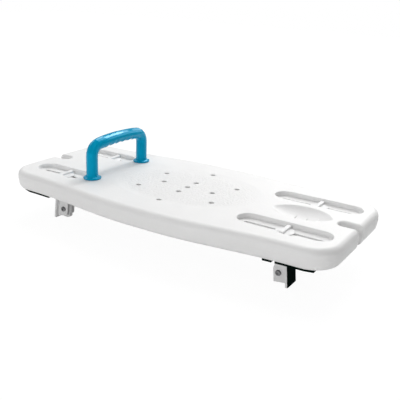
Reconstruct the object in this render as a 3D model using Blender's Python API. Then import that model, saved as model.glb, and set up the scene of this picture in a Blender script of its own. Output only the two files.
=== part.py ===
"""Bath board: a moulded seat board with four sliding, swivelling wall brackets and a grab handle.

Units are metres and +Z is up. X runs along the board, Y across it (front is -Y). The origin is
on the level that the bracket feet stand on, below the middle of the board.
"""
import math

import bmesh
import bpy
from mathutils import Matrix, Vector

# Seat board, outside
BOARD_LENGTH = 0.738
BOARD_WIDTH = 0.3475
BOARD_END_WIDTH = 0.2975
BOARD_END_BOW = 0.0010
BOARD_WIDE_HALF_LENGTH = 0.025
BOARD_CORNER_RADIUS = 0.0555
BOARD_THICKNESS = 0.0408
TOP_EDGE_RADIUS = 0.013
BOTTOM_EDGE_RADIUS = 0.012
LOWER_SIDE_TAPER = 0.0015
PARTING_DEPTH = 0.019
PARTING_RIDGE = 0.0004
PARTING_HALF_HEIGHT = 0.0016
BOTTOM_HEIGHT = 0.0658

# Seat board, dished seat and its drain holes
SEAT_DISH_LENGTH = 0.332
SEAT_DISH_WIDTH = 0.226
SEAT_DISH_DEPTH = 0.0022
DRAIN_RADIUS = 0.0053
DRAIN_RING_RADIUS = 0.1013
DRAIN_NEAR_Y = 0.0333
DRAIN_NEAR_X = 0.0591
TACK_OFF_WALL = 0.007
TACK_OFF_TOP_RADIUS = 0.0085
TACK_OFF_DRAFT = 0.0045

# Seat board, bracket recesses and slots
RECESS_FROM_END_RIGHT = 0.0250
RECESS_FROM_END_LEFT = 0.0335
RECESS_LENGTH_RIGHT = 0.1810
RECESS_LENGTH_LEFT = 0.1310
RECESS_CENTRE_Y = 0.0798
RECESS_WIDTH = 0.0476
RECESS_DEPTH = 0.0098
RECESS_DRAFT = 0.0010
RECESS_RIM_RADIUS = 0.0022
RECESS_FLOOR_RADIUS = 0.0022
SLOT_END_MARGIN = 0.0125
SLOT_WIDTH = 0.0090

# Seat board, finger notch in the front rim of each front recess
NOTCH_FROM_END_RIGHT = 0.0985
NOTCH_FROM_END_LEFT = 0.1395
NOTCH_LENGTH = 0.037
NOTCH_REACH = 0.0090
NOTCH_DEPTH = 0.0045
NOTCH_CORNER = 0.0055
NOTCH_SIDE_DRAFT = 0.0030

# Seat board, soap dish and hose slots
SOAP_DISH_FROM_END = 0.1175
SOAP_DISH_Y = 0.0045
SOAP_DISH_LENGTH = 0.118
SOAP_DISH_WIDTH = 0.072
SOAP_DISH_DEPTH = 0.0125
SOAP_RIB_PITCH = 0.0222
SOAP_RIB_SHIFT_X = 0.0082
SOAP_RIB_SHIFT_Y = 0.0006
SOAP_RIB_LENGTH = 0.0240
SOAP_RIB_WIDTH = 0.0040
SOAP_RIB_HEIGHT = 0.0017
HOSE_SLOT_REACH = 0.0445
HOSE_SLOT_WIDTH = 0.0250
HOSE_SLOT_RIM_RADIUS = 0.0045
HOSE_SLOT_MOUTH = 0.004

# Grab handle and its bolts
HANDLE_FROM_END = 0.1856
HANDLE_HALF_SPAN = 0.084
HANDLE_CENTRE_HEIGHT = 0.0730
HANDLE_ARCH = 0.0028
HANDLE_BEND_RADIUS = 0.023
HANDLE_LEG_RADIUS = 0.0123
HANDLE_GRIP_RADIUS = 0.0130
HANDLE_FLANGE_RADIUS = 0.0186
HANDLE_FLANGE_HEIGHT = 0.0030
HANDLE_FLARE_HEIGHT = 0.0105
FINGER_PITCH = 0.0188
FINGER_DEPTH = 0.0025
FINGER_COUNT = 6
HANDLE_BOLT_RADIUS = 0.0040
HANDLE_BOLT_ENGAGEMENT = 0.022
HANDLE_BOLT_HEAD_RADIUS = 0.0072
HANDLE_BOLT_HEAD_HEIGHT = 0.0053
HANDLE_WASHER_RADIUS = 0.0110
HANDLE_WASHER_THICKNESS = 0.0016
HANDLE_POCKET_RADIUS = 0.0130
HANDLE_POCKET_DEPTH = 0.020

# Slider block under each recess
SLIDER_FROM_END_RIGHT = 0.1127
SLIDER_FROM_END_LEFT = 0.1075
SLIDER_FLANGE_LENGTH = 0.044
SLIDER_FLANGE_WIDTH = 0.034
SLIDER_FLANGE_HEIGHT = 0.0065
SLIDER_KEY_LENGTH = 0.030
SLIDER_KEY_HEIGHT = 0.026
SLIDER_TONGUE_WIDTH = 0.0090
SLIDER_TONGUE_INNER = 0.0102
SLIDER_TONGUE_OUTER = 0.0106
SLIDER_TONGUE_BOTTOM = 0.0018
SLIDER_TONGUE_CORNER = 0.0055
SLIDER_BOSS_RADIUS = 0.0066
STUD_RADIUS = 0.0025
STUD_DEPTH_IN_SLIDER = 0.012

# Clamp knob on top of each recess floor
KNOB_RADIUS = 0.0179
KNOB_EDGE_HEIGHT = 0.0009
KNOB_DOME_HEIGHT = 0.0012
KNOB_BAR_WIDTH = 0.0082
KNOB_BAR_LENGTH = 0.0375
KNOB_TOP_DEPTH = 0.0028
KNOB_CAP_WALL = 0.0014
KNOB_WASHER_RADIUS = 0.0080
KNOB_WASHER_THICKNESS = 0.0006

# Bracket leg that hangs on the pivot screw
PIVOT_HEIGHT = 0.0218
LEG_SPLAY = math.radians(6.5)
LEG_PLATE_INNER = 0.0152
LEG_PLATE_THICKNESS = 0.0038
LEG_PLATE_WIDTH = 0.0356
LEG_PLATE_TOP = 0.0308
LEG_CHANNEL_WIDTH = 0.0168
LEG_CHEEK_THICKNESS = 0.0028
LEG_CHEEK_INNER = 0.0102
LEG_CHEEK_TOP = 0.0298
LEG_CHEEK_INNER_BOTTOM = 0.0110
LEG_CHEEK_OUTER_BOTTOM = 0.0220
LEG_CHEEK_CORNER = 0.0040
LEG_CHEEK_LEVEL_BOTTOM = 0.0180
LEG_CHEEK_CHAMFER_START = 0.0080
LEG_CHEEK_CHAMFER_WIDTH = 0.0085
PAD_THICKNESS = 0.0020
PAD_MARGIN = 0.0004
PAD_BEVEL = 0.0018
SCREW_RADIUS = 0.0030
SCREW_HEAD_RADIUS = 0.0056
SCREW_HEAD_HEIGHT = 0.0034
SCREW_SOCKET_RADIUS = 0.0028
SCREW_SOCKET_DEPTH = 0.0018
NUT_RADIUS = 0.0057
NUT_HEIGHT = 0.0050
SCREW_TAIL = 0.0015

# Rubber strips on the underside, where the board lies on the bath rim
STRIP_THICKNESS = 0.0045
STRIP_SEAT_DEPTH = 0.0010
STRIP_WIDTH = 0.0160
STRIP_EDGE_INSET = 0.0155
STRIP_OUTER_FROM_END_RIGHT = 0.0345
STRIP_OUTER_FROM_END_LEFT = 0.0285
STRIP_OUTER_LENGTH_RIGHT = 0.0690
STRIP_OUTER_LENGTH_LEFT = 0.0790
STRIP_INNER_FROM_END = 0.1095
STRIP_INNER_LENGTH = 0.0170

# Clearances
SEAT_GAP = 0.0003
RUN_GAP = 0.0004
CUT_OVERRUN = 0.004

# Levels and places that follow from the sizes above
UNDERSIDE_Z = BOTTOM_HEIGHT
TOP_Z = UNDERSIDE_Z + BOARD_THICKNESS
RECESS_FLOOR_Z = TOP_Z - RECESS_DEPTH
BOARD_END_X = BOARD_LENGTH / 2
HANDLE_X = HANDLE_FROM_END - BOARD_END_X
SOAP_DISH_X = BOARD_END_X - SOAP_DISH_FROM_END
LEG_CHANNEL_HALF = LEG_CHANNEL_WIDTH / 2
LEG_CHEEK_HALF = LEG_CHANNEL_HALF + LEG_CHEEK_THICKNESS
KNOB_BOTTOM_Z = RECESS_FLOOR_Z + SEAT_GAP
KNOB_TOP_Z = TOP_Z - KNOB_TOP_DEPTH

WHITE = (0.86, 0.86, 0.86)
BRACKET_WHITE = (0.80, 0.81, 0.81)
HANDLE_BLUE = (0.001, 0.238, 0.497)
RUBBER_BLACK = (0.004, 0.009, 0.007)
STEEL_GREY = (0.45, 0.45, 0.46)


def clear_scene():
    for item in list(bpy.data.objects):
        bpy.data.objects.remove(item, do_unlink=True)


def plastic(name, colour, roughness, metallic=0.0):
    """One Principled material in the piece's own colour."""
    material = bpy.data.materials.new(name)
    material.use_nodes = True
    shader = material.node_tree.nodes["Principled BSDF"]
    shader.inputs["Base Color"].default_value = (*colour, 1.0)
    shader.inputs["Roughness"].default_value = roughness
    shader.inputs["Metallic"].default_value = metallic
    return material


def add_object(name, mesh_builder, location=(0.0, 0.0, 0.0), parent=None):
    """Turn a bmesh into a named object with its origin at location, in world coordinates."""
    bmesh.ops.recalc_face_normals(mesh_builder, faces=mesh_builder.faces)
    mesh = bpy.data.meshes.new(name)
    mesh_builder.to_mesh(mesh)
    mesh_builder.free()
    piece = bpy.data.objects.new(name, mesh)
    bpy.context.scene.collection.objects.link(piece)
    piece.location = Vector(location)
    if parent is not None:
        bpy.context.view_layer.update()
        piece.parent = parent
        piece.matrix_parent_inverse = parent.matrix_world.inverted()
    return piece


def finish(piece, material, smooth_angle=math.radians(35.0)):
    """Give a piece its own material and smooth its round faces."""
    piece.data.materials.clear()
    piece.data.materials.append(material)
    piece.data.shade_smooth()
    piece.data.set_sharp_from_angle(angle=smooth_angle)
    return piece


def boolean(piece, tool, operation):
    """Cut a piece with a tool body, or join the tool body to it, and hide the tool."""
    step = piece.modifiers.new(tool.name, "BOOLEAN")
    step.operation = operation
    step.solver = "EXACT"
    step.object = tool
    tool.hide_render = True
    tool.display_type = "WIRE"


def loft(rings):
    """Closed body through rings of points, each ring with as many points as the next."""
    body = bmesh.new()
    loops = [[body.verts.new(point) for point in ring] for ring in rings]
    count = len(rings[0])
    for low, high in zip(loops, loops[1:]):
        for i in range(count):
            j = (i + 1) % count
            body.faces.new((low[i], low[j], high[j], high[i]))
    body.faces.new(loops[0])
    body.faces.new(loops[-1])
    return body


def merge(bodies):
    """Put several separate bodies into one mesh."""
    whole = bmesh.new()
    for body in bodies:
        part_mesh = bpy.data.meshes.new("merge")
        body.to_mesh(part_mesh)
        body.free()
        whole.from_mesh(part_mesh)
        bpy.data.meshes.remove(part_mesh)
    return whole


def arc(start, end, steps):
    """Angles from start to end, both included."""
    return [start + (end - start) * i / steps for i in range(steps + 1)]


def circle_ring(radius, z, segments, centre=(0.0, 0.0), turn=0.0):
    return [
        Vector((centre[0] + radius * math.cos(turn + 2 * math.pi * i / segments),
                centre[1] + radius * math.sin(turn + 2 * math.pi * i / segments), z))
        for i in range(segments)
    ]


def stadium_ring(centre, half_straight, radius, z, steps):
    """Long round-ended outline that runs along X."""
    ring = []
    for side, start in ((1, -math.pi / 2), (-1, math.pi / 2)):
        for angle in arc(start, start + math.pi, steps):
            ring.append(Vector((centre[0] + side * half_straight + radius * math.cos(angle),
                                centre[1] + radius * math.sin(angle), z)))
    return ring


def box(low, high):
    body = bmesh.new()
    bmesh.ops.create_cube(body, size=1.0)
    size = [high[i] - low[i] for i in range(3)]
    middle = [(high[i] + low[i]) / 2 for i in range(3)]
    bmesh.ops.scale(body, vec=size, verts=body.verts)
    bmesh.ops.translate(body, vec=middle, verts=body.verts)
    return body


def slab_along_y(profile, half_width):
    """Body with a flat side profile in X and Z, extruded across Y."""
    return loft([[Vector((x, y, z)) for x, z in profile] for y in (-half_width, half_width)])


def corner_mirror(body, side_x, side_y):
    """Turn a body drawn for the right rear corner into the one for another corner."""
    bmesh.ops.scale(body, vec=(side_x, side_y, 1.0), verts=body.verts)
    if side_x * side_y < 0:
        bmesh.ops.reverse_faces(body, faces=body.faces)
    return body


def corner_centre():
    """Centre of the rear right corner arc, tangent to the end's arc and to the straight end of the side."""
    half_end = BOARD_END_WIDTH / 2
    end_radius = (half_end ** 2 + BOARD_END_BOW ** 2) / (2 * BOARD_END_BOW)
    end_centre_x = BOARD_LENGTH / 2 - end_radius
    centre_y = half_end - BOARD_CORNER_RADIUS
    centre_x = end_centre_x + math.sqrt((end_radius - BOARD_CORNER_RADIUS) ** 2 - centre_y ** 2)
    return centre_x, centre_y, end_centre_x, end_radius


def board_half_width(x):
    """Half the board's width at x: wide round the seat, easing to the narrower ends and their corners."""
    centre_x, centre_y = corner_centre()[:2]
    if abs(x) > centre_x:
        return centre_y + math.sqrt(BOARD_CORNER_RADIUS ** 2 - (abs(x) - centre_x) ** 2)
    share = max(0.0, abs(x) - BOARD_WIDE_HALF_LENGTH) / (centre_x - BOARD_WIDE_HALF_LENGTH)
    return BOARD_END_WIDTH / 2 + (BOARD_WIDTH - BOARD_END_WIDTH) / 2 * (0.5 + 0.5 * math.cos(math.pi * share))


def board_outline(inset, z, side_steps=12, corner_steps=9, end_steps=3):
    """Plan outline of eased sides, bowed ends and tangent corner arcs, moved in by inset."""
    centre_x, centre_y, end_centre_x, end_radius = corner_centre()
    meet = math.atan2(centre_y, centre_x - end_centre_x)
    quarter = []
    for angle in arc(0.0, meet, end_steps):
        quarter.append((end_centre_x + (end_radius - inset) * math.cos(angle), (end_radius - inset) * math.sin(angle)))
    for angle in arc(meet, math.pi / 2, corner_steps)[1:]:
        quarter.append((centre_x + (BOARD_CORNER_RADIUS - inset) * math.cos(angle),
                        centre_y + (BOARD_CORNER_RADIUS - inset) * math.sin(angle)))
    for i in range(1, side_steps + 1):
        x = centre_x * (1 - i / side_steps)
        slope = (board_half_width(x + 0.0005) - board_half_width(x - 0.0005)) / 0.001 if i < side_steps else 0.0
        length = math.hypot(1.0, slope)
        quarter.append((x + inset * slope / length, board_half_width(x) - inset / length))
    half = quarter + [(-x, y) for x, y in reversed(quarter[:-1])]
    whole = half + [(x, -y) for x, y in reversed(half[1:-1])]
    return [Vector((x, y, z)) for x, y in whole]


def board_rim_profile():
    """Inset and height of each line round the rim, from the underside up to the top."""
    parting_z = TOP_Z - PARTING_DEPTH
    lines = []
    for angle in arc(0.0, math.pi / 2, 4):
        lines.append((LOWER_SIDE_TAPER + BOTTOM_EDGE_RADIUS * (1 - math.sin(angle)),
                      UNDERSIDE_Z + BOTTOM_EDGE_RADIUS * (1 - math.cos(angle))))
    lines.append((PARTING_RIDGE, parting_z - PARTING_HALF_HEIGHT))
    lines.append((0.0, parting_z))
    lines.append((PARTING_RIDGE, parting_z + PARTING_HALF_HEIGHT))
    for angle in arc(0.0, math.pi / 2, 5):
        lines.append((PARTING_RIDGE + TOP_EDGE_RADIUS * (1 - math.cos(angle)),
                      TOP_Z - TOP_EDGE_RADIUS * (1 - math.sin(angle))))
    return lines


def drain_places():
    """Centres of the drain holes: one in the middle, four near it, six on an outer ring."""
    places = [(0.0, 0.0), (0.0, DRAIN_NEAR_Y), (0.0, -DRAIN_NEAR_Y), (DRAIN_NEAR_X, 0.0), (-DRAIN_NEAR_X, 0.0)]
    for i in range(6):
        angle = math.radians(30 + 60 * i)
        places.append((DRAIN_RING_RADIUS * math.cos(angle), DRAIN_RING_RADIUS * math.sin(angle)))
    return places


def recess_span(side_x):
    """X of the middle of a recess and its length; the left ones stop short of the handle's feet."""
    length = RECESS_LENGTH_RIGHT if side_x > 0 else RECESS_LENGTH_LEFT
    from_end = RECESS_FROM_END_RIGHT if side_x > 0 else RECESS_FROM_END_LEFT
    return side_x * (BOARD_END_X - from_end - length / 2), length


def recess_cutter(side_x, side_y):
    """Long recess with a rounded rim, drafted walls and a rounded floor edge."""
    centre_x, length = recess_span(side_x)
    half_straight = (length - RECESS_WIDTH) / 2
    mouth = RECESS_WIDTH / 2
    levels = []
    for angle in arc(0.0, math.pi / 2, 3):
        levels.append((mouth - RECESS_DRAFT - RECESS_FLOOR_RADIUS * (1 - math.sin(angle)),
                       RECESS_FLOOR_Z + RECESS_FLOOR_RADIUS * (1 - math.cos(angle))))
    for angle in arc(0.0, math.pi / 2, 3):
        levels.append((mouth + RECESS_RIM_RADIUS * (1 - math.cos(angle)),
                       TOP_Z - RECESS_RIM_RADIUS * (1 - math.sin(angle))))
    levels.append((mouth + RECESS_RIM_RADIUS, TOP_Z + CUT_OVERRUN))
    return loft([stadium_ring((centre_x, side_y * RECESS_CENTRE_Y), half_straight, radius, z, 9)
                 for radius, z in levels])


def slot_cutter(side_x, side_y):
    centre_x, length = recess_span(side_x)
    half_straight = length / 2 - SLOT_END_MARGIN - SLOT_WIDTH / 2
    levels = (UNDERSIDE_Z - CUT_OVERRUN, RECESS_FLOOR_Z + CUT_OVERRUN)
    return loft([stadium_ring((centre_x, side_y * RECESS_CENTRE_Y), half_straight, SLOT_WIDTH / 2, z, 6)
                 for z in levels])


def notch_cutter(side_x):
    """Scoop in the front rim of a front recess, ramped so that a finger reaches the knob's bar."""
    centre_x = side_x * (BOARD_END_X - (NOTCH_FROM_END_RIGHT if side_x > 0 else NOTCH_FROM_END_LEFT))
    front_y = -(RECESS_CENTRE_Y + RECESS_WIDTH / 2 + NOTCH_REACH)
    rear_y = -RECESS_CENTRE_Y - RECESS_WIDTH / 4
    rings = []
    for inset, z in ((1.0, TOP_Z - NOTCH_DEPTH), (0.0, TOP_Z), (0.0, TOP_Z + CUT_OVERRUN)):
        half = NOTCH_LENGTH / 2 - inset * NOTCH_SIDE_DRAFT
        front = front_y + inset * NOTCH_REACH
        ring = [Vector((centre_x + half, rear_y, z)), Vector((centre_x - half, rear_y, z))]
        for side, start in ((-1, math.pi), (1, 3 * math.pi / 2)):
            for angle in arc(start, start + math.pi / 2, 4):
                ring.append(Vector((centre_x + side * (half - NOTCH_CORNER) + NOTCH_CORNER * math.cos(angle),
                                    front + NOTCH_CORNER + NOTCH_CORNER * math.sin(angle), z)))
        rings.append(ring)
    return loft(rings)


def slider_place(side_x, side_y):
    """X and Y of a bracket's upright axis as the board is shown."""
    from_end = SLIDER_FROM_END_RIGHT if side_x > 0 else SLIDER_FROM_END_LEFT
    return side_x * (BOARD_END_X - from_end), side_y * RECESS_CENTRE_Y


def hose_slot_cutter(side_x):
    """Open-ended slot through the board's end, its rim rounded and its mouth a little flared."""
    half = HOSE_SLOT_WIDTH / 2
    centre_x = BOARD_END_X - HOSE_SLOT_REACH + half
    mouth_x = BOARD_LENGTH / 2 - BOARD_END_BOW
    rings = []
    levels = [(0.0, UNDERSIDE_Z - CUT_OVERRUN)]
    for angle in arc(0.0, math.pi / 2, 4):
        levels.append((HOSE_SLOT_RIM_RADIUS * (1 - math.cos(angle)),
                       TOP_Z - HOSE_SLOT_RIM_RADIUS * (1 - math.sin(angle))))
    levels.append((HOSE_SLOT_RIM_RADIUS, TOP_Z + CUT_OVERRUN))
    for grow, z in levels:
        radius = half + grow
        ring = []
        for angle in arc(math.pi / 2, 3 * math.pi / 2, 10):
            ring.append(Vector((centre_x + radius * math.cos(angle), radius * math.sin(angle), z)))
        for side in (-1, 1):
            flare = [(mouth_x - 2 * HOSE_SLOT_MOUTH, radius), (mouth_x, radius + HOSE_SLOT_MOUTH / 2),
                     (mouth_x + 3 * HOSE_SLOT_MOUTH, radius + 3 * HOSE_SLOT_MOUTH)]
            for x, y in flare if side < 0 else reversed(flare):
                ring.append(Vector((x, side * y, z)))
        rings.append([Vector((side_x * point.x, point.y, point.z)) for point in ring])
    return loft(rings)


def drain_cutter(place):
    """Drain hole, with the underside's tapered tack-off pocket below the pinched wall."""
    levels = (
        (TACK_OFF_TOP_RADIUS + TACK_OFF_DRAFT, UNDERSIDE_Z - CUT_OVERRUN),
        (TACK_OFF_TOP_RADIUS + TACK_OFF_DRAFT, UNDERSIDE_Z),
        (TACK_OFF_TOP_RADIUS, TOP_Z - TACK_OFF_WALL),
        (DRAIN_RADIUS, TOP_Z - TACK_OFF_WALL),
        (DRAIN_RADIUS, TOP_Z + CUT_OVERRUN),
    )
    return loft([circle_ring(radius, z, 12, place) for radius, z in levels])


def seat_dish_cutter():
    """Shallow elliptical hollow of the seat, a cap of a very flat paraboloid."""
    rings = []
    for share in (0.25, 0.5, 0.75, 1.0, 1.12):
        z = TOP_Z - SEAT_DISH_DEPTH * (1 - share ** 2)
        rings.append([Vector((SEAT_DISH_LENGTH / 2 * share * math.cos(angle),
                              SEAT_DISH_WIDTH / 2 * share * math.sin(angle), z))
                      for angle in arc(0.0, 2 * math.pi, 40)[:-1]])
    return loft(rings)


def soap_dish_cutter():
    """Leaf-shaped bowl with pointed ends, deepest in the middle."""
    def outline(share, z):
        ring = []
        for angle in arc(0.0, 2 * math.pi, 36)[:-1]:
            across = math.copysign(abs(math.sin(angle)) ** 1.25, math.sin(angle))
            ring.append(Vector((SOAP_DISH_X + SOAP_DISH_LENGTH / 2 * share * math.cos(angle),
                                SOAP_DISH_Y + SOAP_DISH_WIDTH / 2 * share * across, z)))
        return ring
    rings = []
    for share in (0.16, 0.38, 0.58, 0.76, 0.9, 1.0, 1.06):
        rings.append(outline(share, soap_dish_level(share)))
    return loft(rings)


def soap_dish_level(share):
    """Height of the bowl's surface at a share of the way from its deepest point to its rim."""
    return TOP_Z - SOAP_DISH_DEPTH * (1 - share ** 2) ** 1.15 if share < 1 else TOP_Z + (share - 1) * SOAP_DISH_DEPTH


def soap_rib(place):
    """Low round-backed rib across the bowl, so that the soap drains; its back follows the bowl's floor."""
    centre_x = SOAP_DISH_X + SOAP_RIB_SHIFT_X + place * SOAP_RIB_PITCH
    centre_y = SOAP_DISH_Y + SOAP_RIB_SHIFT_Y
    slices = []
    for across, drop in ((-0.5, 0.7), (-0.25, 0.0), (0.25, 0.0), (0.5, 0.7)):
        line = []
        for i in range(7):
            along = i / 3 - 1
            y = along * SOAP_RIB_LENGTH / 2
            share = math.hypot((centre_x - SOAP_DISH_X) / (SOAP_DISH_LENGTH / 2), y / (SOAP_DISH_WIDTH / 2))
            rise = SOAP_RIB_HEIGHT * ((1 - along ** 4) - drop * 0.9)
            line.append(Vector((centre_x + across * SOAP_RIB_WIDTH, centre_y + y, soap_dish_level(share) + rise)))
        low = TOP_Z - SOAP_DISH_DEPTH - CUT_OVERRUN / 2
        line.append(Vector((centre_x + across * SOAP_RIB_WIDTH, centre_y + SOAP_RIB_LENGTH / 2, low)))
        line.append(Vector((centre_x + across * SOAP_RIB_WIDTH, centre_y - SOAP_RIB_LENGTH / 2, low)))
        slices.append(line)
    return loft(slices)


def handle_foot_places():
    return [("front", (HANDLE_X, -HANDLE_HALF_SPAN)), ("rear", (HANDLE_X, HANDLE_HALF_SPAN))]


def handle_hole_cutter(place):
    """Bolt hole under a handle foot, with the pocket that takes the bolt head."""
    levels = (
        (HANDLE_POCKET_RADIUS + RUN_GAP, UNDERSIDE_Z - CUT_OVERRUN),
        (HANDLE_POCKET_RADIUS, UNDERSIDE_Z + HANDLE_POCKET_DEPTH),
        (HANDLE_BOLT_RADIUS + RUN_GAP, UNDERSIDE_Z + HANDLE_POCKET_DEPTH),
        (HANDLE_BOLT_RADIUS + RUN_GAP, TOP_Z + CUT_OVERRUN),
    )
    return loft([circle_ring(radius, z, 16, place) for radius, z in levels])


def strip_spans():
    """Name, side and X span of each rubber strip: one outside every bracket, one inside at the right."""
    spans = []
    for row, side_y in (("front", -1), ("rear", 1)):
        for end, side_x in (("left", -1), ("right", 1)):
            outer_end = BOARD_END_X - (STRIP_OUTER_FROM_END_RIGHT if side_x > 0 else STRIP_OUTER_FROM_END_LEFT)
            length = STRIP_OUTER_LENGTH_RIGHT if side_x > 0 else STRIP_OUTER_LENGTH_LEFT
            spans.append((f"rim_strip_outer_{row}_{end}", side_x, side_y, outer_end - length, outer_end))
        inner_end = BOARD_END_X - STRIP_INNER_FROM_END
        spans.append((f"rim_strip_inner_{row}_right", 1, side_y, inner_end - STRIP_INNER_LENGTH, inner_end))
    return spans


def strip_body(side_x, side_y, start, end, gap, low_z, high_z, steps=4):
    """Flat strip whose long edges follow the board's side, grown by gap on every side."""
    xs = [start - gap + (end - start + 2 * gap) * i / steps for i in range(steps + 1)]
    plan = [(x, board_half_width(x) - STRIP_EDGE_INSET + gap) for x in xs]
    plan += [(x, board_half_width(x) - STRIP_EDGE_INSET - STRIP_WIDTH - gap) for x in reversed(xs)]
    return corner_mirror(loft([[Vector((x, y, z)) for x, y in plan] for z in (low_z, high_z)]), side_x, side_y)


def build_seat_board():
    board = add_object("seat_board", loft([board_outline(inset, z) for inset, z in board_rim_profile()]))
    corners = [(side_x, side_y) for side_x in (-1, 1) for side_y in (-1, 1)]
    seats = [strip_body(side_x, side_y, start, end, SEAT_GAP, UNDERSIDE_Z - CUT_OVERRUN,
                        UNDERSIDE_Z + STRIP_SEAT_DEPTH)
             for _, side_x, side_y, start, end in strip_spans()]
    for name, body in (
        ("cut_seat_dish", seat_dish_cutter()),
        ("cut_drains", merge([drain_cutter(place) for place in drain_places()])),
        ("cut_recesses", merge([recess_cutter(*corner) for corner in corners])),
        ("cut_slots", merge([slot_cutter(*corner) for corner in corners])),
        ("cut_notches", merge([notch_cutter(side_x) for side_x in (-1, 1)])),
        ("cut_soap_dish", soap_dish_cutter()),
        ("cut_hose_slots", merge([hose_slot_cutter(side_x) for side_x in (-1, 1)])),
        ("cut_handle_holes", merge([handle_hole_cutter(place) for _, place in handle_foot_places()])),
        ("cut_strip_seats", merge(seats)),
    ):
        boolean(board, add_object(name, body), "DIFFERENCE")
    boolean(board, add_object("join_soap_ribs", merge([soap_rib(place) for place in (-1, 0, 1)])), "UNION")
    return finish(board, plastic("seat_board_white", WHITE, 0.38))


def handle_centre_line():
    """Points, directions and distance-from-middle along the handle, from the front foot to the rear."""
    top_z = HANDLE_CENTRE_HEIGHT
    half_flat = HANDLE_HALF_SPAN - HANDLE_BEND_RADIUS
    arch_radius = (half_flat ** 2 + HANDLE_ARCH ** 2) / (2 * HANDLE_ARCH)
    lean = math.asin(half_flat / arch_radius)
    bend_z = top_z - HANDLE_ARCH - HANDLE_BEND_RADIUS
    stations = []
    for z in (HANDLE_FLARE_HEIGHT, (HANDLE_FLARE_HEIGHT + bend_z) / 2):
        stations.append(((-HANDLE_HALF_SPAN, z), math.pi / 2))
    for angle in arc(math.pi, math.pi / 2 + lean, 6):
        stations.append(((-half_flat + HANDLE_BEND_RADIUS * math.cos(angle),
                          bend_z + HANDLE_BEND_RADIUS * math.sin(angle)), angle - math.pi / 2))
    steps = FINGER_COUNT * 4
    for i in range(1, steps // 2 + 1):
        y = -half_flat + half_flat * 2 * i / steps
        z = top_z - arch_radius + math.sqrt(arch_radius ** 2 - y ** 2)
        stations.append(((y, z), math.asin(-y / arch_radius)))
    mirrored = [((-y, z), -slope) for (y, z), slope in reversed(stations[:-1])]
    return stations + mirrored


def handle_ring(place, slope, radius, dent, segments=16):
    """Round section square to the centre line; dent presses the underside in between fingers."""
    ring = []
    for i in range(segments):
        angle = 2 * math.pi * i / segments
        across = math.cos(angle)
        upward = math.sin(angle)
        reach = radius - dent * max(0.0, -upward) ** 1.5
        y = place[0] - reach * upward * math.sin(slope)
        z = place[1] + reach * upward * math.cos(slope)
        ring.append(Vector((reach * across, y, z)))
    return ring


def handle_flare(side):
    """Rings of one foot, from the flat base up to the leg: flange, rounded edge and flare."""
    rings = []
    lines = [(HANDLE_FLANGE_RADIUS - 0.0006, 0.0), (HANDLE_FLANGE_RADIUS, 0.0007),
             (HANDLE_FLANGE_RADIUS, HANDLE_FLANGE_HEIGHT)]
    rise = HANDLE_FLARE_HEIGHT - HANDLE_FLANGE_HEIGHT
    run = HANDLE_FLANGE_RADIUS - HANDLE_LEG_RADIUS
    for share in (0.2, 0.45, 0.72, 1.0):
        lines.append((HANDLE_FLANGE_RADIUS - run * math.sin(share * math.pi / 2),
                      HANDLE_FLANGE_HEIGHT + rise * (1 - math.cos(share * math.pi / 2))))
    for radius, z in lines[:-1]:
        rings.append(handle_ring((side * HANDLE_HALF_SPAN, z), side * -math.pi / 2, radius, 0.0))
    return rings


def build_handle():
    """Arched tube of two legs and a thicker grip with finger waves below, one moulding."""
    rings = []
    stations = handle_centre_line()
    half_flat = HANDLE_HALF_SPAN - HANDLE_BEND_RADIUS
    for (y, z), slope in stations:
        swell = max(0.0, min(1.0, (half_flat * 1.08 - abs(y)) / (half_flat * 0.3)))
        swell = swell * swell * (3 - 2 * swell)
        radius = HANDLE_LEG_RADIUS + (HANDLE_GRIP_RADIUS - HANDLE_LEG_RADIUS) * swell
        fade = max(0.0, min(1.0, (FINGER_PITCH * FINGER_COUNT / 2 - abs(y)) / (FINGER_PITCH / 2)))
        wave = 0.5 + 0.5 * math.cos(2 * math.pi * y / FINGER_PITCH)
        rings.append(handle_ring((y, z), slope, radius, FINGER_DEPTH * wave * fade))
    front = handle_flare(-1)
    rear = [list(ring) for ring in reversed(handle_flare(1))]
    body = loft(front + rings + rear)
    place = (HANDLE_X, 0.0, TOP_Z + SEAT_GAP)
    handle = add_object("grab_handle", body, place)
    bores = []
    depth = HANDLE_BOLT_ENGAGEMENT + 4 * SEAT_GAP
    for _, (_, y) in handle_foot_places():
        bores.append(loft([circle_ring(HANDLE_BOLT_RADIUS + RUN_GAP, z, 12, (0.0, y))
                           for z in (-CUT_OVERRUN, depth)]))
    boolean(handle, add_object("cut_handle_bores", merge(bores), place), "DIFFERENCE")
    return finish(handle, plastic("grab_handle_blue", HANDLE_BLUE, 0.22), math.radians(50.0))


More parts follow.
